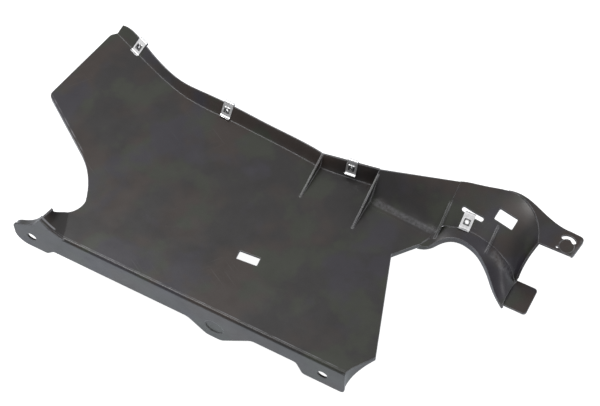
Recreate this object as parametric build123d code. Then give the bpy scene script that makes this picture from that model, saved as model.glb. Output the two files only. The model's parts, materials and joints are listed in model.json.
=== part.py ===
from build123d import *
from math import cos, radians, sin, tan
import os

# Engine splash shield: one moulded black plastic sheet with four folded spring steel nuts on it.
# Millimetres. The datum is the left bolt hole, at the front wall's outer face.
# X runs to the right along the front wall, Y runs backwards and Z runs up.

# Moulding
wall = 2.5                   # thickness of the moulded sheet
rib_wall = 2.4               # thickness of gussets and ribs
deck_z = 30.0                # top face of the deck above the datum
lip_drop = 7.0               # depth of the lip under the deck's cut edges
arch_lip_drop = 9.0          # the same along the arch
bend_r = 3.5                 # outside of the bend between the deck and the front wall
cove_r = 3.0                 # inside corner between the deck and the back flange
wide_cove_r = 10.0           # the same at the foot of the right wall
cove_dip = 0.6               # depth at which a flange's skin leaves the deck's face
cove_lead = 2.0              # flat strip at the foot of a flange, under the deck's face
tuck = 0.4                   # how far an edge is buried in the sheet it joins

# Deck outline, x and y
deck_left = (-77.0, 164.5)   # left corner
deck_top = (-60.0, 274.6)    # upper end of the straight left edge
deck_step = (-59.0, 277.0)   # where the edge turns towards the back flange
left_corner_r = 8.0
slant_end = (3.0, 109.7)     # where the slanted edge turns into the round notch
notch_upper = (26.0, 86.5)
notch_side = (42.0, 56.0)
notch_lower = (40.0, 44.0)
notch_end = (31.0, 33.4)
bolt_span = 379.0            # from the left bolt hole to the right one
deck_right_x = bolt_span + 27.0
chamfer_low = (deck_right_x + 4.0, 12.0)
chamfer_top = (deck_right_x + 20.0, 34.5)
arch_start = (384.0, 158.0)
arch_side = (395.0, 171.5)
arch_rise = (407.0, 186.0)   # where the edge of the arch leaves the deck
window_centre = (244.0, 78.0)
window_size = (25.5, 11.0)
window_turn = 5.0
window_corner_r = 1.0
left_lip_zone = ((-20.0, 105.0), (130.0, 130.0))    # centre and size of where the left edge has its lip
right_lip_zone = ((415.0, 109.0), (100.0, 151.0))   # the same for the chamfer and the arch

# Front wall, heights above the datum
wall_low_z = -12.0           # lower edge, left half
wall_high_z = 3.0            # lower edge, right half
wall_step_x = bolt_span - 89.0   # between the two halves
bolt_dia = 12.6
bolt_step = 4.0              # the right hole is this much higher than the left one
tab_left_x = -24.0
tab_root_x = 28.0
tab_bottom_z = -23.0
tab_end_z = 11.0
tab_corner_r = 17.0
tab_shoulder = (5.0, 30.0)
tab_rim = 6.0                # width of the rim turned back along the tab's upper edge
tab_rim_rise = 1.0           # slope of that rim, up and to the left
tab_neck = 10.0              # run of the step from the wall's lower edge down to the tab
face_inset = 0.8             # how far behind the wall's outer face the rim starts
centre_lobe_x = (bolt_span - 148.0, bolt_span - 129.0)
centre_lobe_z = -33.0
centre_lobe_slope = 24.0
lobe_corner_r = 12.0
right_lobe_width = 52.0
right_lobe_slope = 8.0
right_lobe_z = -17.0
right_lobe_r = 6.0
disc_dia = 23.5              # shallow round recess in the centre lobe
disc_depth = 0.8
disc_place = (bolt_span - 137.0, -7.0)
end_web_top = 8.0            # how far above the right lobe's lower edge the end web starts
end_web_low_z = (8.0, 19.0)  # its lower edge at the chamfer's start and middle

# Raised corner of the deck over the tab
kick_start_x = 46.0
kick_overlap = 2.0           # how far the ramp reaches into the deck
kick_sink = 0.8              # how far under the deck's face it starts
kick_inset = 0.6             # how far behind the wall's outer face its front edge runs
kick_back_y = 34.0           # back corner of the ramp, where it leaves the deck
kick_first = (11.0, 4.0)     # run and rise of the front edge up to its first bend
kick_mid = (25.5, 23.5)      # x and y of the notch's edge, half way up
kick_end = (24.5, 20.0)
kick_front_x = 19.0          # top of the front wall under the raised corner
kick_bend = (28.5, 11.0)     # x and rise of the wall's upper edge, half way down
kick_rise = 22.0

# Back flanges: x and y of the foot, lean from upright in degrees and width of the strip
flange_left = [
    (-54.0, 282.0, 50.0, 13.0),
    (-40.0, 276.3, 50.0, 17.0),
    (-19.0, 268.0, 50.0, 16.0),
    (2.0, 259.7, 49.0, 13.9),
    (30.0, 249.0, 46.0, 12.8),
    (71.0, 237.5, 40.0, 16.0),
    (107.0, 234.2, 35.0, 19.0),
    (126.0, 233.6, 33.0, 19.2),
    (145.0, 232.8, 32.0, 18.9),
    (207.0, 228.8, 31.0, 18.9),
    (257.0, 224.0, 30.0, 18.7),
]
flange_middle = [
    (257.0, 224.0, 30.0, 18.7),
    (276.0, 225.6, 20.0, 22.4),
    (296.0, 227.8, 17.0, 24.4),
    (314.0, 230.0, 14.0, 26.5),
    (329.0, 232.0, 10.0, 29.1),
]
flange_right = [
    (327.5, 211.0, 40.5, 39.3),
    (350.0, 210.0, 44.5, 45.6),
    (372.0, 209.0, 48.0, 52.0),
    (395.0, 208.0, 51.0, 58.7),
    (417.0, 207.0, 54.0, 65.3),
]

# Arm, shelf over the arch, lower arm and foot
arm_z = deck_z + 38.0
arm_end_x = 573.0
arm_back_y = 257.0
arm_front_y = 227.0
arm_root_x = 528.0
arm_corner_r = 5.0
arm_lip = 4.0                # turned down end of the arm
shelf_z = deck_z + 8.0
foot_z = deck_z - 25.0
foot_x = (514.0, 545.5)
foot_y = (172.0, 208.0)
foot_corner_r = 4.0
arm_back_run = [(472, 274.5), (495, 275), (515, 267.5), (540, 258.5)]   # back edge, up to arm_back_start
arm_back_start = (556, arm_back_y)
arm_front_run = [(522, 243), (511, 259)]            # where the arm meets the wall
arm_end_slope = 4.0          # how far the end's front corner is set in
arm_end_inset = 1.0          # how far both corners are off the arm's sides
arm_lip_zone = (12.0, 50.0)  # size of the place at the end that has the lip
arm_lip_y = 15.0             # its centre, behind the arm's front edge

# Wall between the shelf and the arm: rows from its foot over its middle to its crest
arm_wall_up = (9.0, 37.0)    # first points of two rows, up the last station of the right flange
arm_wall_low = [(436, 220, shelf_z - 1), (458, 220.5, shelf_z - 1), (479, 217, shelf_z - 1), (497, 212, deck_z),
                (509, 209, 18), (515, 206, 8), (519, 203.5, foot_z - 1)]
arm_wall_middle = [(436, 243, 53), (458, 247, 53.5), (479, 247, 54), (498, 244, 53), (510.5, 235, 48),
                   (518.5, 224.5, 43), (520.5, 214.5, 37)]
arm_wall_crest = [(436, 265.5), (458, 271), (479, 275), (500, 271), (516, 257), (525, 243),
                  (arm_root_x, arm_front_y)]

# Shelf and lower arm: rows along the arch's edge, the middle and the foot of the wall
arch_edge = [(404, 184, deck_z - cove_dip), (419.8, 192.4, deck_z + 1), (430, 203, deck_z + 5),
             (441, 207, shelf_z), (458, 206, shelf_z), (470, 202, shelf_z - 2), (479, 197, shelf_z - 6),
             (487, 192, 26), (497, 184, 17), (507.8, 175.5, 9), (518, 167.5, foot_z + 1)]
shelf_middle = [(404, 196, deck_z - cove_dip), (419, 205, deck_z + 2), (430, 212, deck_z + 6.5),
                (441, 214.5, shelf_z), (458, 214, shelf_z), (470, 211.5, shelf_z), (480, 208, shelf_z - 0.5),
                (492, 203, 34), (504, 196, 24), (512, 188, 14), (518, 186, foot_z + 4)]
shelf_back = [(404, 209, deck_z - cove_dip), (419, 216, deck_z + 3), (430, 220.5, shelf_z - 1),
              (441, 222, shelf_z), (458, 222, shelf_z), (470, 221, shelf_z), (482, 217.5, shelf_z - 1),
              (497, 213, 31), (509, 210, 20), (515, 207, 10), (519, 204, foot_z + 1)]

# Openings in the wall and the arm
slot_centre = (446.0, 238.5)
slot_length = 27.5
slot_width = 5.2
slot_turn = -4.0
port_centre = (482.7, 247.0)
port_size = (24.0, 12.5)
port_turn = -9.0
port_corner_r = 1.5
hook_slot = ((551.0, 246.5), (557.5, 249.0), (563.5, 246.0))
hook_slot_width = 5.0
dimple_place = (558.0, 237.5)
dimple_dia = 17.0
dimple_depth = 0.7
pin_hole = (549.0, 232.0)
pin_hole_dia = 3.0

# Gussets and ribs: x, foot y, top y, top z, back y and base z
gussets = [
    (257.0, 172.0, 233.8, deck_z + 15.4, 225.2, deck_z - 1.2),
    (329.2, 164.0, 238.0, deck_z + 27.4, 233.3, deck_z - 1.2),
    (418.0, 195.0, 242.5, deck_z + 25.0, 208.5, deck_z - 1.2),
    (478.0, 205.0, 238.5, deck_z + 20.0, 219.0, shelf_z - 1.2),
]

# Folded spring nuts
clip_sheet = 0.8
clip_gap = 0.02              # between the nut's leaves and the pad they grip
clip_edge_gap = 1.0          # between the nut's fold and the edge of the plastic
pad_rise = 0.5               # each side of the sheet, flat pad under a nut
pad_length = 10.8
pad_width = 11.0
pad_drop = 0.3               # from the edge of the sheet to the pad
clip_width = 13.0
clip_leaf = 15.0
clip_back_leaf = 11.3
clip_lip = 2.6
clip_fold_cut = 0.6          # bevel of the fold's two corners
clip_screw_at = 8.0          # from the edge of the plastic to the screw
clip_boss = 7.4              # side of the raised square round the thread
clip_boss_rise = 1.6
clip_thread_dia = 4.2
clip_clearance_dia = 6.0
screw_hole_dia = 7.0         # hole in the plastic under each nut
left_clip_station = 2        # of the left flange
middle_clip_station = 7
right_clip_station = 2       # of the middle flange
clip_names = ["edge_clip_left", "edge_clip_middle", "edge_clip_right", "slot_clip"]
slot_clip_x = 443.5
slot_clip_run = 0.83         # plan share of a step down the wall at the slot


def plate(sketch, top_z, thick=wall):
    """Flat plate of a plan sketch, with its upper face at top_z."""
    return extrude(Pos(0, 0, top_z) * sketch, -thick)


def skin_face(*rows):
    """Smooth face through rows of points."""
    grid = [[Vector(point) for point in column] for column in zip(*rows)]
    return Face.make_surface_from_array_of_points(grid, tol=0.05, min_deg=1, max_deg=3)


def sheet(face, front=(0, 0, 1)):
    """Moulded sheet behind a front face."""
    return Solid.thicken(face, -wall, normal_override=front)


def flange_frame(stations, i):
    """Foot point, way out of the deck and way up the strip, at one station."""
    x, y, lean, width = stations[i]
    before = stations[max(i - 1, 0)]
    after = stations[min(i + 1, len(stations) - 1)]
    run = Vector(after[0] - before[0], after[1] - before[1]).normalized()
    out = Vector(-run.Y, run.X)
    up = out * sin(radians(lean)) + Vector(0, 0, cos(radians(lean)))
    return Vector(x, y, deck_z - cove_dip), out, up


def cove_start(stations, i, radius):
    """Point at which the cove leaves the deck, at one station."""
    foot, out, up = flange_frame(stations, i)
    turn = radians(90 - stations[i][2])
    return foot - out * (radius * tan(turn / 2))


def flange_face(stations, radius, arc_steps=3):
    """Front face of a strip that stands on the deck's back edge, with a coved foot."""
    rows = [[] for row in range(arc_steps + 4)]
    for i, (x, y, lean, width) in enumerate(stations):
        foot, out, up = flange_frame(stations, i)
        turn = radians(90 - lean)
        start = cove_start(stations, i, radius)
        centre = start + Vector(0, 0, radius)
        rows[0].append(start - out * cove_lead)
        for k in range(arc_steps + 1):
            angle = turn * k / arc_steps
            rows[k + 1].append(centre + out * (radius * sin(angle)) - Vector(0, 0, radius * cos(angle)))
        rows[-2].append(foot + up * (width * 0.55))
        rows[-1].append(foot + up * width)
    return skin_face(*rows)


def make_deck():
    outline = Polyline(deck_step, deck_top, deck_left, slant_end)
    outline += ThreePointArc(slant_end, notch_upper, notch_side)
    outline += ThreePointArc(notch_side, notch_lower, notch_end)
    outline += Polyline(notch_end, (kick_start_x, bend_r), (deck_right_x, bend_r), chamfer_low, chamfer_top,
                        arch_start)
    outline += ThreePointArc(arch_start, arch_side, arch_rise)
    foot_line = [(x, y) for x, y, lean, width in flange_left + flange_middle[1:] + flange_right[1:]]
    outline += Polyline(arch_rise, *foot_line[::-1], deck_step)
    face = make_face(outline)
    corner = face.vertices().sort_by(Axis.X)[0]
    face = fillet(corner, left_corner_r)
    window = Pos(*window_centre) * Rot(0, 0, window_turn) * RectangleRounded(*window_size, window_corner_r)
    rim = face - offset(face, -wall)
    lip_zones = (left_lip_zone, right_lip_zone)
    left_zone, right_zone = [Pos(*centre) * Rectangle(*size) for centre, size in lip_zones]
    lip = plate(rim & (left_zone + right_zone), deck_z - wall / 2, lip_drop - wall / 2)
    return plate(face - window, deck_z) + lip


def make_front_wall():
    lobe_left, lobe_right = centre_lobe_x
    lobe_x = deck_right_x - right_lobe_width
    kick_top_z = deck_z + kick_rise
    outline = Polyline(
        (kick_start_x, deck_z - bend_r), (deck_right_x, deck_z - bend_r), (deck_right_x, right_lobe_z),
        (lobe_x, right_lobe_z), (lobe_x - right_lobe_slope, wall_high_z), (wall_step_x, wall_high_z),
        (lobe_right, centre_lobe_z), (lobe_left, centre_lobe_z), (lobe_left - centre_lobe_slope, wall_low_z),
        (tab_root_x, wall_low_z), (tab_root_x - tab_neck, tab_bottom_z), (tab_left_x, tab_bottom_z),
        (tab_left_x, tab_end_z), tab_shoulder, (kick_front_x, kick_top_z),
        (kick_bend[0] - 1, deck_z + kick_bend[1] - 1), (kick_start_x, deck_z), close=True)
    face = make_face(outline)

    def corners(*places):
        return [face.vertices().sort_by_distance((*place, 0))[0] for place in places]

    face = fillet(corners((tab_left_x, tab_bottom_z)), tab_corner_r)
    face = fillet(corners((tab_left_x, tab_end_z), tab_shoulder), right_lobe_r)
    face = fillet(corners((lobe_right, centre_lobe_z), (lobe_left, centre_lobe_z),
                          (wall_step_x, wall_high_z), (lobe_left - centre_lobe_slope, wall_low_z)), lobe_corner_r)
    face = fillet(corners((deck_right_x, right_lobe_z), (lobe_x, right_lobe_z),
                          (lobe_x - right_lobe_slope, wall_high_z), (tab_root_x, wall_low_z),
                          (tab_root_x - tab_neck, tab_bottom_z)), right_lobe_r)
    for place in [(0, 0), (bolt_span, bolt_step)]:
        face -= Pos(*place) * Circle(bolt_dia / 2)
    upright = Plane(origin=(0, 0, 0), x_dir=(1, 0, 0), z_dir=(0, -1, 0))
    disc = extrude(upright * Pos(*disc_place) * Circle(disc_dia / 2), -disc_depth)
    return extrude(upright * face, -wall) - disc


def make_bend():
    """Round bend that joins the deck to the front wall."""
    side = Plane(origin=(kick_start_x, 0, 0), x_dir=(0, 1, 0), z_dir=(1, 0, 0))
    ring = Pos(bend_r, deck_z - bend_r) * (Circle(bend_r) - Circle(bend_r - wall))
    quarter = ring & (Pos(bend_r / 2, deck_z - bend_r / 2) * Rectangle(bend_r, bend_r))
    return extrude(side * quarter, deck_right_x - kick_start_x)


def make_kick():
    """Deck corner that ramps up over the tab."""
    start_x = kick_start_x + kick_overlap
    mid_z = deck_z + kick_rise / 2
    end_z = deck_z + kick_rise
    front = [(start_x, kick_inset, deck_z - kick_sink),
             (start_x - kick_first[0], kick_inset, deck_z + kick_first[1]),
             (kick_bend[0], kick_inset, deck_z + kick_bend[1]), (kick_front_x, kick_inset, end_z)]
    back = [(start_x, kick_back_y, deck_z - kick_sink), (notch_end[0] + 1, notch_end[1], deck_z + 1),
            (*kick_mid, mid_z), (*kick_end, end_z - 1)]
    return sheet(skin_face(front, back))


def make_tab_rim():
    """Narrow rim turned back along the upper edge of the tab."""
    middle = ((tab_left_x + tab_shoulder[0]) / 2, (tab_end_z + tab_shoulder[1]) / 2)
    line = [(tab_left_x + 1, tab_end_z - 10), (tab_left_x + 5, tab_end_z + 1.5), middle,
            (tab_shoulder[0] - 2, tab_shoulder[1]), (kick_front_x, deck_z + kick_rise - 1)]
    edge = [(x, face_inset, z) for x, z in line]
    back = [(x - tab_rim_rise, tab_rim, z + tab_rim_rise) for x, z in line]
    return sheet(skin_face(edge, back), front=(-1, 0, 1))


def make_end_web():
    """Curved return from the front wall's right end to the lip along the chamfer."""
    middle = ((chamfer_low[0] + chamfer_top[0]) / 2, (chamfer_low[1] + chamfer_top[1]) / 2)
    top_z = deck_z - wall / 2
    top = [(deck_right_x - 0.5, 0.5, top_z), (*chamfer_low, top_z), (*middle, top_z), (*chamfer_top, top_z)]
    low = [(deck_right_x - 0.5, 0.5, right_lobe_z + end_web_top), (*chamfer_low, end_web_low_z[0]),
           (*middle, end_web_low_z[1]), (*chamfer_top, deck_z - lip_drop)]
    return sheet(skin_face(top, low), front=(1, -1, 0))


def arm_wall_face():
    """Face that rises from the shelf and rolls over into the arm."""
    foot, out, up = flange_frame(flange_right, len(flange_right) - 1)
    crest = arm_z - cove_dip
    low = [foot + up * arm_wall_up[0], *arm_wall_low]
    middle = [foot + up * arm_wall_up[1], *arm_wall_middle]
    high = [foot + up * flange_right[-1][3], *[(x, y, crest) for x, y in arm_wall_crest]]
    return skin_face(low, middle, high)


def make_shelf():
    """Sheet from the deck over the arch and down to the foot."""
    return sheet(skin_face(arch_edge, shelf_middle, shelf_back))


def make_arch_lip():
    top = [(x, y + tuck, z - wall / 2) for x, y, z in arch_edge]
    low = [(x, y, max(z - arch_lip_drop, foot_z - wall - 0.5)) for x, y, z in top]
    return sheet(skin_face(top, low), front=(0, -1, 0))


def make_arm():
    root = (arm_root_x, arm_front_y)
    outline = Spline(*arm_back_run, arm_back_start)
    outline += Polyline(arm_back_start, (arm_end_x, arm_back_y - arm_end_inset),
                        (arm_end_x - arm_end_slope, arm_front_y + arm_end_inset), root)
    outline += Spline(root, *arm_front_run, arm_back_run[0])
    face = make_face(outline)
    face = fillet(face.vertices().sort_by(Axis.X)[-2:], arm_corner_r)
    rim = (face - offset(face, -wall)) & (Pos(arm_end_x, arm_front_y + arm_lip_y) * Rectangle(*arm_lip_zone))
    return plate(face, arm_z) + plate(rim, arm_z - wall / 2, arm_lip)


def make_foot():
    size = (foot_x[1] - foot_x[0], foot_y[1] - foot_y[0])
    centre = ((foot_x[1] + foot_x[0]) / 2, (foot_y[1] + foot_y[0]) / 2)
    return plate(Pos(*centre) * RectangleRounded(*size, foot_corner_r), foot_z)


def make_gusset(x, foot_y, top_y, top_z, back_y, base_z):
    """Upright triangle between the deck and the wall behind it."""
    side = Plane(origin=(x - rib_wall / 2, 0, 0), x_dir=(0, 1, 0), z_dir=(1, 0, 0))
    face = make_face(Polyline((foot_y, base_z), (top_y, top_z), (back_y, base_z), close=True))
    return extrude(side * face, rib_wall)


def make_clip(plane):
    """Folded nut in its own plane: x out of the front face, y along the sheet and out of its edge."""
    near = wall / 2 + pad_rise + clip_gap + clip_sheet / 2
    fold_y = clip_edge_gap + clip_sheet
    fold_x = near - clip_fold_cut
    path = Polyline((near + clip_lip, -clip_leaf - clip_lip), (near, -clip_leaf), (near, clip_edge_gap),
                    (fold_x, fold_y), (-fold_x, fold_y), (-near, clip_edge_gap), (-near, -clip_back_leaf))
    strip = extrude(trace(path, clip_sheet), clip_width / 2, both=True)
    screw = Plane(origin=(0, -clip_screw_at, 0), x_dir=(0, 0, 1), z_dir=(1, 0, 0))
    boss = extrude(screw * Pos(0, 0, near) * Rectangle(clip_boss, clip_boss), clip_boss_rise + clip_sheet / 2)
    thread = extrude(screw * Circle(clip_thread_dia / 2), 3 * near)
    clearance = extrude(screw * Circle(clip_clearance_dia / 2), -3 * near)
    return plane * (strip + boss - thread - clearance)


def make_pad(plane):
    """Flat pad moulded on both faces of the sheet under a nut."""
    return plane * Pos(0, -pad_drop - pad_length / 2, 0) * Box(wall + 2 * pad_rise, pad_length, pad_width)


def screw_cutter(plane):
    """Hole in the plastic under a nut."""
    screw = Plane(origin=(0, -clip_screw_at, 0), x_dir=(0, 0, 1), z_dir=(1, 0, 0))
    return plane * extrude(screw * Circle(screw_hole_dia / 2), wall, both=True)


def nut_plane(face, edge_point, screw_line):
    """Plane of a nut at the middle of the sheet's edge: x out of the front face and y up the sheet."""
    screw_point, front = face.find_intersection_points(screw_line)[0]
    if front.dot(screw_line.direction) > 0:
        front = -front
    up = (edge_point - screw_point).normalized()
    side = front.cross(up).normalized()
    front = up.cross(side)
    origin = screw_point + up * clip_screw_at - front * (wall / 2)
    return Plane(origin=origin, x_dir=front, z_dir=side)


def edge_nut_plane(face, stations, i):
    """Plane of a nut on the top edge of a flange, at one station."""
    foot, out, up = flange_frame(stations, i)
    front = Vector(out.Y, -out.X).cross(up)
    edge_point = foot + up * stations[i][3]
    return nut_plane(face, edge_point, Axis(edge_point - up * clip_screw_at + front * 5, -front))


def slot_nut_plane(face):
    """Plane of the nut on the lower edge of the wall's slot."""
    step = slot_clip_x - slot_centre[0]
    edge_y = slot_centre[1] + step * tan(radians(slot_turn)) - slot_width / 2
    screw_y = edge_y - clip_screw_at * slot_clip_run
    edge_point = face.find_intersection_points(Axis((slot_clip_x, edge_y, arm_z), (0, 0, -1)))[0][0]
    return nut_plane(face, edge_point, Axis((slot_clip_x, screw_y, arm_z), (0, 0, -1)))


def upright_cutter(sketch):
    """Cutter that goes straight down through the wall and the arm."""
    return extrude(Pos(0, 0, arm_z + 20) * sketch, -arm_z)


left_face = flange_face(flange_left, cove_r)
middle_face = flange_face(flange_middle, cove_r)
right_face = flange_face(flange_right, wide_cove_r)
arm_face = arm_wall_face()

shield = make_deck() + [
    make_front_wall(), make_bend(), make_kick(), make_tab_rim(), make_end_web(),
    sheet(left_face), sheet(middle_face), sheet(right_face), sheet(arm_face),
    make_shelf(), make_arch_lip(), make_arm(), make_foot(),
]
shield += [make_gusset(*gusset) for gusset in gussets]
nut_planes = [
    edge_nut_plane(left_face, flange_left, left_clip_station),
    edge_nut_plane(left_face, flange_left, middle_clip_station),
    edge_nut_plane(middle_face, flange_middle, right_clip_station),
    slot_nut_plane(arm_face),
]

slot = Pos(*slot_centre) * Rot(0, 0, slot_turn) * SlotOverall(slot_length, slot_width)
port = Pos(*port_centre) * Rot(0, 0, port_turn) * RectangleRounded(*port_size, port_corner_r)
hook = SlotArc(ThreePointArc(*hook_slot), hook_slot_width)
pin = Pos(*pin_hole) * Circle(pin_hole_dia / 2)
dimple = Pos(*dimple_place) * Circle(dimple_dia / 2)
shield -= [upright_cutter(sketch) for sketch in (slot, port, hook, pin)]
shield -= plate(dimple, arm_z, dimple_depth)
shield += [make_pad(plane) for plane in nut_planes]
shield -= [screw_cutter(plane) for plane in nut_planes]

os.makedirs("parts", exist_ok=True)
export_step(shield, "parts/shield_body.step")
for name, plane in zip(clip_names, nut_planes):
    export_step(make_clip(plane), "parts/" + name + ".step")
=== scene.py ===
import json
import math

import bmesh
import bpy
from mathutils import Matrix, Vector


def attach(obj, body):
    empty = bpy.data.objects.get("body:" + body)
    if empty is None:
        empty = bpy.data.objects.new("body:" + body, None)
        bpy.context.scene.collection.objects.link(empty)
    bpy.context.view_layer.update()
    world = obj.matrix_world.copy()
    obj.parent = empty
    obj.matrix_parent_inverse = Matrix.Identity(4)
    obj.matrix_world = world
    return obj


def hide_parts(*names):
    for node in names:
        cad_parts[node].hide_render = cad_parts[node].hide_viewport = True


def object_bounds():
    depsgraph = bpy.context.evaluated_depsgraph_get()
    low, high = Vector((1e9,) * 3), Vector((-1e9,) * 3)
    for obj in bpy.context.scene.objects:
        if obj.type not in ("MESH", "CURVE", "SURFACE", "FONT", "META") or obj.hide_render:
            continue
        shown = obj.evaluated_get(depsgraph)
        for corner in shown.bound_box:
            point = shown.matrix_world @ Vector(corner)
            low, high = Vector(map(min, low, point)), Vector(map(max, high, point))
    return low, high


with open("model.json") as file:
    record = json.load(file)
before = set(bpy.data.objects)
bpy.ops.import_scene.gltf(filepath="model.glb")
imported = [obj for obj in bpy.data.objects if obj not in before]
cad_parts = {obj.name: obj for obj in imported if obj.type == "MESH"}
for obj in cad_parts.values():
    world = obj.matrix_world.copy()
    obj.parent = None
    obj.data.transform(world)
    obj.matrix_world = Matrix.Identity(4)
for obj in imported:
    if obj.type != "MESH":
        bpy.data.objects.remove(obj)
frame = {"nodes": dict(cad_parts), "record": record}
cad_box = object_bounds()

# Shield: one injection-moulded sheet of black polypropylene, about 2.5 mm thick.
# Two bolts through its front wall hold it, and its back flange carries the spring nuts.
# The mould leaves a fine grain, and handling leaves dust and light scuffs; highlights on edges, bends
# and ridges are painted in the same light colour.
PLASTIC_DARK = (0.025, 0.023, 0.023, 1.0)
PLASTIC_WARM = (0.041, 0.031, 0.027, 1.0)
PLASTIC_GREEN = (0.034, 0.037, 0.027, 1.0)
PLASTIC_COOL = (0.033, 0.030, 0.038, 1.0)
# Light colour of scuffs, dust and edge wear, and of the painted highlights.
PLASTIC_WEAR_AND_HIGHLIGHT = (0.3, 0.3, 0.32, 1.0)
PLASTIC_SPECULAR = 0.34
PLASTIC_ROUGHNESS = (0.29, 0.38)
CLOUD_SIZE = 0.075
# Each tint, its patches to a cloud, the detail of their rims, and the noise where it starts and is full.
PLASTIC_TINTS = (
    (PLASTIC_WARM, 1.0, 3.0, (0.44, 0.56)),
    (PLASTIC_GREEN, 1.7, 4.0, (0.50, 0.60)),
    (PLASTIC_COOL, 1.3, 4.0, (0.52, 0.62)))
SHEEN_CLOUDS = 3.1              # patches of other gloss to a cloud
SHEEN_LEVELS = (0.3, 0.7)
GRAIN_SIZE = 0.0011
GRAIN_STRENGTH = 0.12
GRAIN_DEPTH = 0.0003
CLOUD_DEPTH = 2.0               # height of the clouds to that of the grain
PLASTIC_EDGE_R = 0.0017
FILLET_R = 0.010
EDGE_TURN = (0.99, 0.88)        # cosine of the turn at an edge, where the painted edge wear and highlight start and are full
EDGE_SPOTS = (0.3, 0.6, 0.35, 1.0)      # noise from and to, and the strength there of the painted edge wear and highlight
EDGE_SAMPLES = 6
PLASTIC_EDGE_NOISE = 120.0      # noises are in cells per metre
SCUFF_LENGTH = 0.05
SCUFF_WIDTH = 0.0012
SCUFF_TURNS = (0.5, -0.9)
SCUFF_LEVELS = (0.66, 0.78)
SCUFF_PATCH_NOISE = 14.0
SCUFF_PATCH_LEVELS = (0.52, 0.68)
SCUFF_STRENGTH = 0.12
DUST_PATCH_NOISE = 22.0
DUST_PATCH_LEVELS = (0.35, 0.75)
DUST_SPECK_NOISE = 900.0
DUST_SPECK_LEVELS = (0.52, 0.72)
DUST_PATCH_SHARE = 0.6
DUST_SPECK_SHARE = 0.4
DUST_FACING = (-0.2, 1.0)       # upward part of the normal, where dust starts and is full
PLASTIC_DUST = 0.5
DUST_STRENGTH = 0.1
MARKS_ROUGHEN = 0.15
FILLET_ROUGHENS = 0.1
# Noise that breaks the painted highlight bands into spots.
HIGHLIGHT_SPOT_NOISE = 260.0
HIGHLIGHT_SPOTS = (0.35, 0.65, 0.08, 0.32)
# Noise that breaks up the painted highlight lines along bends.
FOLD_HIGHLIGHT_NOISE = 90.0
FOLD_HIGHLIGHT_BREAKS = (0.38, 0.6, 0.1, 0.6)
BAND_ENDS = (0.55, 0.42)        # share of the length from the middle, where a band starts and is full
BAND_SIDES = (1.2, 0.6)         # share of the half width
# Painted highlights, light bands that stand in for the sheen of small bends and rounded places: two ends
# seen from above, half width.
FILLET_RUN = ((0.334, 0.211), (0.4136, 0.2065))                     # foot of the right wall
HIGHLIGHT_BANDS = (
    (FILLET_RUN, 0.0038),
    (((0.484, 0.2095), (0.513, 0.204)), 0.007),                     # crown of the lower arm
    (((0.5682, 0.2285), (0.5716, 0.2555)), 0.0022))                 # turned-down end of the arm
TAB_RIDGE_HIGHLIGHT = (((0.017, 0.004), (0.034, 0.0055)), 0.0012)             # painted highlight on the ridge over the left tab
# Painted highlights, thin light lines along bends.
FOLD_HIGHLIGHTS = (
    (((0.048, 0.0046), (0.402, 0.0046)), 0.0005),                   # bend into the front wall
    (((-0.073, 0.1648), (0.002, 0.1135)), 0.0007))                  # lip of the slanted left edge


def new_group(name, inputs, outputs):
    """Shader node group with named float, vector or colour sockets."""
    group = bpy.data.node_groups.new(name, "ShaderNodeTree")
    for socket_name, kind, value in inputs:
        socket = group.interface.new_socket(name=socket_name, in_out="INPUT", socket_type=kind)
        if value is not None:
            socket.default_value = value
    for socket_name, kind in outputs:
        group.interface.new_socket(name=socket_name, in_out="OUTPUT", socket_type=kind)
    start = group.nodes.new("NodeGroupInput")
    end = group.nodes.new("NodeGroupOutput")
    return group, start, end


def math_node(tree, operation, first, second=None):
    """Math node fed by sockets or plain numbers."""
    node = tree.nodes.new("ShaderNodeMath")
    node.operation = operation
    for socket, value in zip(node.inputs, (first, second)):
        if isinstance(value, bpy.types.NodeSocket):
            tree.links.new(value, socket)
        elif value is not None:
            socket.default_value = value
    return node.outputs[0]


def times(tree, first, second):
    """Product of two values."""
    return math_node(tree, "MULTIPLY", first, second)


def strongest(tree, masks):
    """Largest of several masks."""
    result = masks[0]
    for mask in masks[1:]:
        result = math_node(tree, "MAXIMUM", result, mask)
    return result


def remap(tree, value, low, high, to_low=0.0, to_high=1.0):
    """Clamped map of a value from one range to another."""
    node = tree.nodes.new("ShaderNodeMapRange")
    tree.links.new(value, node.inputs["Value"])
    node.inputs["From Min"].default_value = low
    node.inputs["From Max"].default_value = high
    node.inputs["To Min"].default_value = to_low
    node.inputs["To Max"].default_value = to_high
    return node.outputs["Result"]


def noise(tree, vector, scale, detail=2.0, roughness=0.5):
    """Noise value at a given number of cells per metre."""
    node = tree.nodes.new("ShaderNodeTexNoise")
    tree.links.new(vector, node.inputs["Vector"])
    if isinstance(scale, bpy.types.NodeSocket):
        tree.links.new(scale, node.inputs["Scale"])
    else:
        node.inputs["Scale"].default_value = scale
    node.inputs["Detail"].default_value = detail
    node.inputs["Roughness"].default_value = roughness
    return node.outputs[0]


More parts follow.
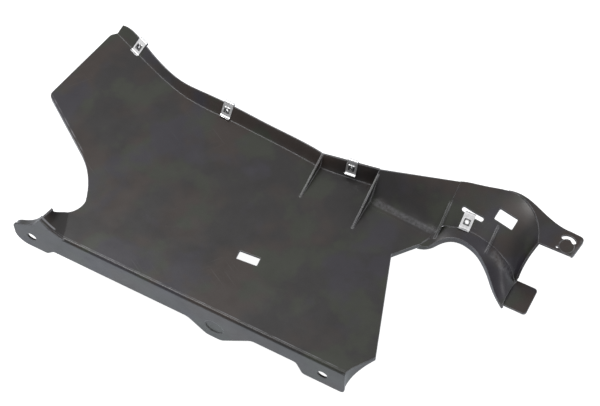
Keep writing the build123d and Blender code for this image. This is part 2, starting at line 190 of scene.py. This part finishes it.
def make_edge_wear_and_highlight():
    """Rounded normal at sharp edges, and a mask of those edges broken up by noise, for edge wear and
    painted highlights.
    """
    group, start, end = new_group(
        "edge_wear_and_highlight",
        [("Vector", "NodeSocketVector", None),
         ("Radius", "NodeSocketFloat", 0.001),
         ("Breakup", "NodeSocketFloat", 300.0)],
        [("Mask", "NodeSocketFloat"), ("Normal", "NodeSocketVector")])
    rounded = group.nodes.new("ShaderNodeBevel")
    rounded.samples = EDGE_SAMPLES
    group.links.new(start.outputs["Radius"], rounded.inputs["Radius"])
    flat = group.nodes.new("ShaderNodeNewGeometry")
    dot = group.nodes.new("ShaderNodeVectorMath")
    dot.operation = "DOT_PRODUCT"
    group.links.new(rounded.outputs[0], dot.inputs[0])
    group.links.new(flat.outputs["Normal"], dot.inputs[1])
    edge = remap(group, dot.outputs["Value"], *EDGE_TURN)
    breakup = noise(group, start.outputs["Vector"], start.outputs["Breakup"], 3.0)
    spots = remap(group, breakup, *EDGE_SPOTS)
    group.links.new(times(group, edge, spots), end.inputs["Mask"])
    group.links.new(rounded.outputs[0], end.inputs["Normal"])
    return group


def make_dust():
    """Mask of fine dust that settles on what faces up, in wide patches and fine specks."""
    group, start, end = new_group(
        "settled_dust",
        [("Vector", "NodeSocketVector", None), ("Amount", "NodeSocketFloat", 0.5)],
        [("Mask", "NodeSocketFloat")])
    flat = group.nodes.new("ShaderNodeNewGeometry")
    parts = group.nodes.new("ShaderNodeSeparateXYZ")
    group.links.new(flat.outputs["Normal"], parts.inputs[0])
    up = remap(group, parts.outputs["Z"], *DUST_FACING)
    patches = noise(group, start.outputs["Vector"], DUST_PATCH_NOISE, 4.0, 0.65)
    patches = remap(group, patches, *DUST_PATCH_LEVELS)
    specks = noise(group, start.outputs["Vector"], DUST_SPECK_NOISE, 1.0)
    specks = remap(group, specks, *DUST_SPECK_LEVELS)
    cover = math_node(
        group, "ADD", times(group, patches, DUST_PATCH_SHARE), times(group, specks, DUST_SPECK_SHARE))
    cover = times(group, cover, up)
    group.links.new(times(group, cover, start.outputs["Amount"]), end.inputs["Mask"])
    return group


def make_scuffs():
    """Mask of light straight scuffs along one direction, gathered in patches."""
    group, start, end = new_group(
        "light_scuffs",
        [("Vector", "NodeSocketVector", None), ("Turn", "NodeSocketVector", (0.0, 0.0, 0.0))],
        [("Mask", "NodeSocketFloat")])
    turned = group.nodes.new("ShaderNodeVectorRotate")
    turned.rotation_type = "EULER_XYZ"
    group.links.new(start.outputs["Vector"], turned.inputs["Vector"])
    group.links.new(start.outputs["Turn"], turned.inputs["Rotation"])
    stretch = group.nodes.new("ShaderNodeMapping")
    stretch.inputs["Scale"].default_value = (1 / SCUFF_LENGTH, 1 / SCUFF_WIDTH, 1 / SCUFF_WIDTH)
    group.links.new(turned.outputs[0], stretch.inputs["Vector"])
    lines = remap(group, noise(group, stretch.outputs[0], 1.0, 1.0), *SCUFF_LEVELS)
    where = noise(group, start.outputs["Vector"], SCUFF_PATCH_NOISE, 1.0)
    where = remap(group, where, *SCUFF_PATCH_LEVELS)
    group.links.new(times(group, lines, where), end.inputs["Mask"])
    return group


def make_highlight_band():
    """Mask of a straight band seen from above, soft at its sides and ends, where a highlight is painted.
    """
    group, start, end = new_group(
        "highlight_band",
        [("Vector", "NodeSocketVector", None),
         ("Start", "NodeSocketVector", None),
         ("Turn", "NodeSocketVector", None),
         ("Length", "NodeSocketFloat", 0.05),
         ("Half Width", "NodeSocketFloat", 0.005)],
        [("Mask", "NodeSocketFloat")])
    seat = group.nodes.new("ShaderNodeMapping")
    seat.vector_type = "TEXTURE"
    group.links.new(start.outputs["Vector"], seat.inputs["Vector"])
    group.links.new(start.outputs["Start"], seat.inputs["Location"])
    group.links.new(start.outputs["Turn"], seat.inputs["Rotation"])
    parts = group.nodes.new("ShaderNodeSeparateXYZ")
    group.links.new(seat.outputs[0], parts.inputs[0])
    off_line = math_node(group, "ABSOLUTE", parts.outputs["Y"])
    aside = math_node(group, "DIVIDE", off_line, start.outputs["Half Width"])
    share = math_node(group, "DIVIDE", parts.outputs["X"], start.outputs["Length"])
    from_middle = math_node(group, "ABSOLUTE", math_node(group, "SUBTRACT", share, 0.5))
    along = remap(group, from_middle, *BAND_ENDS)
    across = remap(group, aside, *BAND_SIDES)
    group.links.new(times(group, across, along), end.inputs["Mask"])
    return group


def place_group(tree, group, vector, **values):
    """A group's node in a material, with its own values."""
    node = tree.nodes.new("ShaderNodeGroup")
    node.node_tree = group
    tree.links.new(vector, node.inputs["Vector"])
    for name, value in values.items():
        node.inputs[name].default_value = value
    return node


def mix_colour(tree, factor, first, second):
    """Blend of two colours, each a socket or a plain colour."""
    node = tree.nodes.new("ShaderNodeMix")
    node.data_type = "RGBA"
    tree.links.new(factor, node.inputs["Factor"])
    for socket, value in ((node.inputs[6], first), (node.inputs[7], second)):
        if isinstance(value, bpy.types.NodeSocket):
            tree.links.new(value, socket)
        else:
            socket.default_value = value
    return node.outputs[2]


edge_wear_and_highlight = make_edge_wear_and_highlight()
settled_dust = make_dust()
light_scuffs = make_scuffs()
highlight_band = make_highlight_band()


def place_band(tree, vector, run, half_width):
    """Mask of one painted highlight band between two places on the panel."""
    start, end = (Vector((*place, 0.0)) for place in run)
    way = end - start
    turn = (0.0, 0.0, math.atan2(way.y, way.x))
    band = place_group(tree, highlight_band, vector, Start=start, Turn=turn, Length=way.length)
    band.inputs["Half Width"].default_value = half_width
    return band.outputs["Mask"]


def make_black_plastic():
    """Satin black polypropylene, slightly mottled, with grain, scuffs and dust, and painted highlights
    on edges, bends and ridges.
    """
    material = bpy.data.materials.new("moulded_plastic_satin")
    material.use_nodes = True
    tree = material.node_tree
    surface = tree.nodes["Principled BSDF"]
    place = tree.nodes.new("ShaderNodeTexCoord").outputs["Object"]

    # The edges' rounding widens to the fillet's radius over the foot of the right wall.
    edges = place_group(tree, edge_wear_and_highlight, place, Breakup=PLASTIC_EDGE_NOISE)
    fillet = place_band(tree, place, FILLET_RUN, FILLET_R)
    radius = remap(tree, fillet, 0.0, 1.0, PLASTIC_EDGE_R, FILLET_R)
    tree.links.new(radius, edges.inputs["Radius"])

    colour = PLASTIC_DARK
    for tint, fineness, detail, levels in PLASTIC_TINTS:
        patches = remap(tree, noise(tree, place, fineness / CLOUD_SIZE, detail), *levels)
        colour = mix_colour(tree, patches, colour, tint)

    scuffs = [place_group(tree, light_scuffs, place, Turn=(0.0, 0.0, turn)).outputs["Mask"]
              for turn in SCUFF_TURNS]
    dust = place_group(tree, settled_dust, place, Amount=PLASTIC_DUST)
    off_fillet = math_node(tree, "SUBTRACT", 1.0, fillet)
    # Painted highlights on the fillet, the crown of the lower arm and the arm's turned-down end, broken
    # into spots.
    band_highlights = strongest(tree, [place_band(tree, place, *band) for band in HIGHLIGHT_BANDS])
    spots = remap(tree, noise(tree, place, HIGHLIGHT_SPOT_NOISE, 3.0, 0.6), *HIGHLIGHT_SPOTS)
    # Painted highlights along the front bend and the lip of the slanted left edge, broken by noise.
    fold_highlights = strongest(tree, [place_band(tree, place, *line) for line in FOLD_HIGHLIGHTS])
    breaks = remap(tree, noise(tree, place, FOLD_HIGHLIGHT_NOISE, 2.0), *FOLD_HIGHLIGHT_BREAKS)
    # Scuffs, dust, worn and highlighted edges and the painted highlight bands, ridge and lines, all in
    # one light colour.
    marks_and_highlights = strongest(tree, [
        times(tree, strongest(tree, scuffs), SCUFF_STRENGTH),
        times(tree, dust.outputs["Mask"], DUST_STRENGTH),
        # Sharp edges painted light, partly as wear and partly as a painted highlight.
        times(tree, edges.outputs["Mask"], off_fillet),
        times(tree, band_highlights, spots),
        # Painted highlight on the ridge over the left tab.
        place_band(tree, place, *TAB_RIDGE_HIGHLIGHT),
        times(tree, fold_highlights, breaks)])
    colour = mix_colour(tree, marks_and_highlights, colour, PLASTIC_WEAR_AND_HIGHLIGHT)
    tree.links.new(colour, surface.inputs["Base Color"])

    surface.inputs["Specular IOR Level"].default_value = PLASTIC_SPECULAR
    clouds = noise(tree, place, SHEEN_CLOUDS / CLOUD_SIZE, 4.0, 0.6)
    satin = remap(tree, clouds, *SHEEN_LEVELS, *PLASTIC_ROUGHNESS)
    rough = math_node(tree, "ADD", satin, times(tree, marks_and_highlights, MARKS_ROUGHEN))
    rough = math_node(tree, "ADD", rough, times(tree, fillet, FILLET_ROUGHENS))
    tree.links.new(rough, surface.inputs["Roughness"])

    bump = tree.nodes.new("ShaderNodeBump")
    bump.inputs["Strength"].default_value = GRAIN_STRENGTH
    bump.inputs["Distance"].default_value = GRAIN_DEPTH
    grain = noise(tree, place, 1 / GRAIN_SIZE)
    height = math_node(tree, "ADD", grain, times(tree, clouds, CLOUD_DEPTH))
    tree.links.new(height, bump.inputs["Height"])
    tree.links.new(edges.outputs["Normal"], bump.inputs["Normal"])
    tree.links.new(bump.outputs[0], surface.inputs["Normal"])
    return material


shield = frame["nodes"]["shield_body"]
shield.material_slots[0].material = make_black_plastic()
for face in shield.data.polygons:
    face.use_smooth = True

# Spring nuts: blanks of zinc-plated spring steel, 0.8 mm thick, folded over the edge of the plastic.
# The front leaf has a raised square with the formed thread, and the back leaf a clearance hole.
# The end of the front leaf is bent out to lead the nut on.
MM = 0.001
NUT_SHEET = 0.8 * MM
NUT_WIDTH = 13.0 * MM
NUT_FOLD_Y = 9.2 * MM           # from the screw up to the start of the fold
NUT_FRONT_END_Y = -7.0 * MM     # from the screw down to the bent end
NUT_BACK_END_Y = -3.3 * MM
NUT_LEAF_X = 2.17 * MM          # from the middle of the plastic to the middle of a leaf
NUT_FOLD_STEPS = 12
NUT_LIP_R = 1.9 * MM
NUT_LIP_TURN = math.radians(62.0)
NUT_LIP_LENGTH = 1.6 * MM
NUT_LIP_STEPS = 6
NUT_EDGE_R = 0.12 * MM
NUT_RING_STEPS = 48
NUT_MOUNT_X = 3.0 * MM          # the mount's point is this far in front of the middle of the plastic
COLLAR_HALF = 3.6 * MM
COLLAR_RISE = 1.5 * MM
COLLAR_REACH = COLLAR_HALF * 1.02       # half side of the part that is darker
THREAD_R = 2.1 * MM
THREAD_RIDGE = 0.28 * MM
THREAD_PITCH = 0.9 * MM
THREAD_TURNS = 1.6
THREAD_STEPS = 40
CLEARANCE_R = 3.0 * MM
# Hole's rim and raised square, from the hole outwards: rise over the leaf and radius or half side.
RIM_STEPS = (
    (COLLAR_RISE - 0.5 * MM, THREAD_R + NUT_SHEET / 2),
    (COLLAR_RISE, THREAD_R + NUT_SHEET * 0.8))
COLLAR_STEPS = (
    (COLLAR_RISE, COLLAR_HALF * 0.9),
    (COLLAR_RISE * 0.8, COLLAR_HALF),
    (0.0, COLLAR_HALF * 1.1))
ZINC = (0.78, 0.78, 0.79, 1.0)
ZINC_DULL = (0.56, 0.56, 0.56, 1.0)
ZINC_BRIGHT = (0.92, 0.92, 0.93, 1.0)
ZINC_ROUGHNESS = (0.42, 0.28)   # dull and bright spangle
ZINC_EDGE_R = 0.35 * MM
ZINC_EDGE_NOISE = 900.0
ZINC_DUST = 0.4
SPANGLE_NOISE = 420.0
SPANGLE_LEVELS = (0.35, 0.65)
ZINC_GRAIN_NOISE = 1500.0
ZINC_GRAIN_STRENGTH = 0.15
ZINC_GRAIN_DEPTH = 0.1 * MM
# Darker grey that the raised square is coloured.
COLLAR_DARK_GREY = (0.14, 0.14, 0.14, 1.0)
EDGE_NUTS = {
    "edge_clip_left": "left_nut",
    "edge_clip_middle": "middle_nut",
    "edge_clip_right": "right_nut"}


def ring_to_rectangle(ring, x, low_y, high_y, half_width):
    """Moves a ring round the screw straight out onto a rectangle, with vertices in its corners."""
    for vert in ring:
        reach = math.hypot(vert.co.y, vert.co.z)
        dy = vert.co.y / reach
        dz = vert.co.z / reach
        to_y = (high_y if dy > 0 else low_y) / dy if abs(dy) > 1e-6 else 1e9
        to_z = half_width / abs(dz) if abs(dz) > 1e-6 else 1e9
        step = min(to_y, to_z)
        vert.co = Vector((x, dy * step, dz * step))
    for corner_y in (low_y, high_y):
        for corner_z in (-half_width, half_width):
            corner = Vector((x, corner_y, corner_z))
            min(ring, key=lambda vert: (vert.co - corner).length).co = corner


def extrude_ring(mesh, ring):
    """Extrudes a closed ring of vertices outwards, and returns the new ring."""
    edges = [edge for edge in mesh.edges if edge.verts[0] in ring and edge.verts[1] in ring]
    made = bmesh.ops.extrude_edge_only(mesh, edges=edges)["geom"]
    return [item for item in made if isinstance(item, bmesh.types.BMVert)]


def first_ring(mesh, x, radius):
    """Open circle of vertices round the screw."""
    turn = Matrix.Translation((x, 0, 0)) @ Matrix.Rotation(math.radians(90), 4, "Y")
    circle = bmesh.ops.create_circle(mesh, segments=NUT_RING_STEPS, radius=radius, matrix=turn)
    return circle["verts"]


def resize_ring(ring, x, radius):
    """Moves a ring of vertices to another circle."""
    for vert in ring:
        away = Vector((0, vert.co.y, vert.co.z)).normalized() * radius
        vert.co = Vector((x, away.y, away.z))


def edges_at(mesh, x, y):
    """Edges that lie across the nut at a given place."""
    place = Vector((x, y))
    near = 0.01 * MM
    return [edge for edge in mesh.edges
            if all((vert.co.xy - place).length < near for vert in edge.verts)]


def make_nut_mesh():
    """Nut in its own place: the screw along x, the plastic's edge up at y, the width along z."""
    mesh = bmesh.new()
    ring = first_ring(mesh, NUT_LEAF_X - NUT_SHEET * 0.3, THREAD_R + NUT_SHEET / 2)
    for rise, radius in RIM_STEPS:
        ring = extrude_ring(mesh, ring)
        resize_ring(ring, NUT_LEAF_X + rise, radius)
    for rise, half in COLLAR_STEPS:
        ring = extrude_ring(mesh, ring)
        ring_to_rectangle(ring, NUT_LEAF_X + rise, -half, half, half)
    ring = extrude_ring(mesh, ring)
    ring_to_rectangle(ring, NUT_LEAF_X, NUT_FRONT_END_Y, NUT_FOLD_Y, NUT_WIDTH / 2)

    ring = first_ring(mesh, -NUT_LEAF_X, CLEARANCE_R)
    ring = extrude_ring(mesh, ring)
    ring_to_rectangle(ring, -NUT_LEAF_X, NUT_BACK_END_Y, NUT_FOLD_Y, NUT_WIDTH / 2)

    fold = edges_at(mesh, NUT_LEAF_X, NUT_FOLD_Y)
    bmesh.ops.spin(mesh, geom=fold, cent=(0, NUT_FOLD_Y, 0), axis=(0, 0, 1),
                   angle=math.radians(180), steps=NUT_FOLD_STEPS)

    lip = edges_at(mesh, NUT_LEAF_X, NUT_FRONT_END_Y)
    lip_centre = (NUT_LEAF_X + NUT_LIP_R, NUT_FRONT_END_Y, 0)
    turned = bmesh.ops.spin(mesh, geom=lip, cent=lip_centre, axis=(0, 0, 1),
                            angle=NUT_LIP_TURN, steps=NUT_LIP_STEPS)
    rim = [item for item in turned["geom_last"] if isinstance(item, bmesh.types.BMEdge)]
    made = bmesh.ops.extrude_edge_only(mesh, edges=rim)
    ends = [item for item in made["geom"] if isinstance(item, bmesh.types.BMVert)]
    lip_way = Vector((math.sin(NUT_LIP_TURN), -math.cos(NUT_LIP_TURN), 0))
    bmesh.ops.translate(mesh, verts=ends, vec=lip_way * NUT_LIP_LENGTH)

    bmesh.ops.remove_doubles(mesh, verts=mesh.verts, dist=0.02 * MM)
    bmesh.ops.recalc_face_normals(mesh, faces=mesh.faces)
    return mesh


def add_thread(mesh):
    """Helical ridge of the formed thread, a turn and a half up the hole."""
    start_x = NUT_LEAF_X - NUT_SHEET * 0.2
    section = [
        (start_x, THREAD_R),
        (start_x + THREAD_PITCH / 2, THREAD_R - THREAD_RIDGE),
        (start_x + THREAD_PITCH * 0.9, THREAD_R)]
    verts = [mesh.verts.new((x, y, 0)) for x, y in section]
    face = mesh.faces.new(verts)
    shift = THREAD_TURNS * THREAD_PITCH / THREAD_STEPS
    bmesh.ops.spin(mesh, geom=[face], cent=(0, 0, 0), axis=(1, 0, 0), dvec=(shift, 0, 0),
                   angle=math.radians(360 * THREAD_TURNS), steps=THREAD_STEPS)


def mark_collar(mesh):
    """Marks the raised square, which is darker than the plating round it."""
    layer = mesh.verts.layers.float.new("collar")
    for vert in mesh.verts:
        if vert.co.x > 0 and abs(vert.co.y) < COLLAR_REACH and abs(vert.co.z) < COLLAR_REACH:
            vert[layer] = 1.0


def make_zinc():
    """Bright zinc plating with cloudy spangle, dulled by dust, and darker on the raised square."""
    material = bpy.data.materials.new("zinc_plating")
    material.use_nodes = True
    tree = material.node_tree
    surface = tree.nodes["Principled BSDF"]
    surface.inputs["Metallic"].default_value = 1.0
    place = tree.nodes.new("ShaderNodeTexCoord").outputs["Object"]
    edges = place_group(tree, edge_wear_and_highlight, place, Radius=ZINC_EDGE_R, Breakup=ZINC_EDGE_NOISE)
    dust = place_group(tree, settled_dust, place, Amount=ZINC_DUST)
    spangle = remap(tree, noise(tree, place, SPANGLE_NOISE, 4.0, 0.6), *SPANGLE_LEVELS)
    colour = mix_colour(tree, spangle, ZINC_DULL, ZINC)
    # Sharp edges painted brighter, partly as wear and partly as a painted highlight.
    colour = mix_colour(tree, edges.outputs["Mask"], colour, ZINC_BRIGHT)
    colour = mix_colour(tree, dust.outputs["Mask"], colour, ZINC_DULL)
    collar = tree.nodes.new("ShaderNodeAttribute")
    collar.attribute_name = "collar"
    colour = mix_colour(tree, collar.outputs["Fac"], colour, COLLAR_DARK_GREY)
    tree.links.new(colour, surface.inputs["Base Color"])
    tree.links.new(remap(tree, spangle, 0.0, 1.0, *ZINC_ROUGHNESS), surface.inputs["Roughness"])
    bump = tree.nodes.new("ShaderNodeBump")
    bump.inputs["Strength"].default_value = ZINC_GRAIN_STRENGTH
    bump.inputs["Distance"].default_value = ZINC_GRAIN_DEPTH
    tree.links.new(noise(tree, place, ZINC_GRAIN_NOISE), bump.inputs["Height"])
    tree.links.new(edges.outputs["Normal"], bump.inputs["Normal"])
    tree.links.new(bump.outputs[0], surface.inputs["Normal"])
    return material


def add_object(name, mesh, material):
    """Object made from a finished bmesh, at the origin."""
    data = bpy.data.meshes.new(name)
    mesh.to_mesh(data)
    mesh.free()
    data.materials.append(material)
    made = bpy.data.objects.new(name, data)
    bpy.context.collection.objects.link(made)
    return made


zinc = make_zinc()
mounts = {mount["name"]: mount for mount in frame["record"]["mounts"]}


def place_nut(node, mount_name, side_of):
    """Nut at its mount; side_of turns the way out of its front into the way across it."""
    mount = mounts[mount_name]
    front = -Vector(mount["axis"]).normalized()
    side = side_of(front).normalized()
    up = side.cross(front)
    seat = Matrix((front, up, side)).transposed().to_4x4()
    seat.translation = Vector(mount["pos_m"]) - front * NUT_MOUNT_X
    mesh = make_nut_mesh()
    bmesh.ops.solidify(mesh, geom=mesh.faces, thickness=NUT_SHEET)
    add_thread(mesh)
    mark_collar(mesh)
    bmesh.ops.transform(mesh, matrix=seat, verts=mesh.verts)
    nut = add_object(node + "_spring", mesh, zinc)
    rounding = nut.modifiers.new("broken_edges", "BEVEL")
    rounding.width = NUT_EDGE_R
    rounding.segments = 2
    rounding.limit_method = "ANGLE"
    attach(nut, "root")
    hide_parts(node)


for node, mount_name in EDGE_NUTS.items():
    place_nut(node, mount_name, lambda front: front.cross(Vector((0, 0, 1))))
place_nut("slot_clip", "slot_nut", lambda front: Vector((1, 0, 0)).cross(front).cross(front))

# Studio: a white floor just under the lowest lobe, a softbox overhead and one on the right.
# The upright walls reflect a grey board on the camera's side, and the panel a long strip overhead
# that only reflections see. None of this is part of the object.
FLOOR_GAP = 0.5 * MM
FLOOR_Z = cad_box[0].z - FLOOR_GAP
FLOOR_HALF = 12.0
FLOOR_PAPER = (0.5, 0.5, 0.5, 1.0)
FLOOR_GLOW = 0.95
FLOOR_TINT = (0.93, 1.0, 1.1, 1.0)      # of the floor in reflections
WHITE = (1.0, 1.0, 1.0, 1.0)
BOARD_PLACE = (-0.3, -1.3, 0.8)
BOARD_HALF = (2.1, 0.8)
BOARD_FELT = (0.01, 0.01, 0.01, 1.0)
BOARD_GLOW = 0.5
SKY_LIGHT = 0.35
# Each softbox: its place, what it faces, its two sides and its watts.
SOFTBOXES = {
    "overhead_strip": ((-0.5, 0.03, 1.28), (-0.5, 0.03, 0.0), (1.1, 0.16), 9.0),
    "sheen_strip": ((-0.5, 0.1, 1.3), (-0.5, 0.1, 0.0), (1.1, 0.34), 10.0),
    "right_softbox": ((1.5, 0.1, 0.8), (0.45, 0.2, 0.03), (0.5, 0.5), 3.0)}


def seen_ray(tree):
    """1 for the rays of the camera, of mirrors and of glass."""
    path = tree.nodes.new("ShaderNodeLightPath")
    rays = ("Is Camera Ray", "Is Glossy Ray", "Is Transmission Ray")
    return strongest(tree, [path.outputs[ray] for ray in rays])


def make_floor():
    """Wide white floor that shows white and keeps the object's shadow."""
    material = bpy.data.materials.new("white_paper")
    material.use_nodes = True
    tree = material.node_tree
    surface = tree.nodes["Principled BSDF"]
    surface.inputs["Base Color"].default_value = FLOOR_PAPER
    surface.inputs["Roughness"].default_value = 0.9
    surface.inputs["Specular IOR Level"].default_value = 0.1
    path = tree.nodes.new("ShaderNodeLightPath")
    tint = mix_colour(tree, path.outputs["Is Glossy Ray"], WHITE, FLOOR_TINT)
    tree.links.new(tint, surface.inputs["Emission Color"])
    tree.links.new(times(tree, seen_ray(tree), FLOOR_GLOW), surface.inputs["Emission Strength"])
    mesh = bmesh.new()
    bmesh.ops.create_grid(mesh, x_segments=1, y_segments=1, size=FLOOR_HALF)
    bmesh.ops.translate(mesh, verts=mesh.verts, vec=(0, 0, FLOOR_Z))
    add_object("studio_floor", mesh, material)


def make_board():
    """Upright dim board that faces the object and isn't seen by the camera."""
    material = bpy.data.materials.new("grey_board")
    material.use_nodes = True
    surface = material.node_tree.nodes["Principled BSDF"]
    surface.inputs["Base Color"].default_value = BOARD_FELT
    surface.inputs["Roughness"].default_value = 1.0
    surface.inputs["Emission Color"].default_value = WHITE
    surface.inputs["Emission Strength"].default_value = BOARD_GLOW
    mesh = bmesh.new()
    bmesh.ops.create_grid(mesh, x_segments=1, y_segments=1, size=1.0)
    bmesh.ops.scale(mesh, verts=mesh.verts, vec=(*BOARD_HALF, 1.0))
    upright = Matrix.Rotation(math.radians(90), 3, "X")
    bmesh.ops.rotate(mesh, verts=mesh.verts, matrix=upright)
    bmesh.ops.translate(mesh, verts=mesh.verts, vec=BOARD_PLACE)
    board = add_object("camera_side_board", mesh, material)
    board.visible_camera = False


def make_softbox(name, place, target, size, power):
    """Rectangular softbox that faces its target and isn't seen by the camera."""
    light = bpy.data.lights.new(name, "AREA")
    light.shape = "RECTANGLE"
    light.size, light.size_y = size
    light.energy = power
    lamp = bpy.data.objects.new(name, light)
    lamp.location = place
    lamp.rotation_euler = (Vector(target) - Vector(place)).to_track_quat("-Z", "Y").to_euler()
    lamp.visible_camera = False
    bpy.context.collection.objects.link(lamp)
    return lamp


make_floor()
make_board()
lamps = {name: make_softbox(name, *values) for name, values in SOFTBOXES.items()}
lamps["sheen_strip"].visible_diffuse = False

world = bpy.data.worlds.new("white_studio")
bpy.context.scene.world = world
world.use_nodes = True
sky_tree = world.node_tree
sky = sky_tree.nodes["Background"]
sky.inputs["Color"].default_value = WHITE
shown = times(sky_tree, seen_ray(sky_tree), 1.0 - SKY_LIGHT)
sky_tree.links.new(math_node(sky_tree, "ADD", shown, SKY_LIGHT), sky.inputs["Strength"])

# Camera: stands in front of the shield, a little to its right, and looks steeply down on the panel.
CAMERA_TARGET = Vector((0.261, 0.170, 0.030))
CAMERA_AZIMUTH = math.radians(28.0)
CAMERA_ELEVATION = math.radians(58.0)
CAMERA_DISTANCE = 1.79975
CAMERA_LENS = 93.9
CAMERA_SENSOR = 36.0

camera_data = bpy.data.cameras.new("photo_camera")
camera_data.lens = CAMERA_LENS
camera_data.sensor_width = CAMERA_SENSOR
camera = bpy.data.objects.new("photo_camera", camera_data)
away = Vector((
    math.sin(CAMERA_AZIMUTH) * math.cos(CAMERA_ELEVATION),
    -math.cos(CAMERA_AZIMUTH) * math.cos(CAMERA_ELEVATION),
    math.sin(CAMERA_ELEVATION)))
camera.location = CAMERA_TARGET + away * CAMERA_DISTANCE
camera.rotation_euler = (-away).to_track_quat("-Z", "Y").to_euler()
bpy.context.collection.objects.link(camera)
bpy.context.scene.camera = camera

bpy.context.scene.view_settings.view_transform = "Standard"
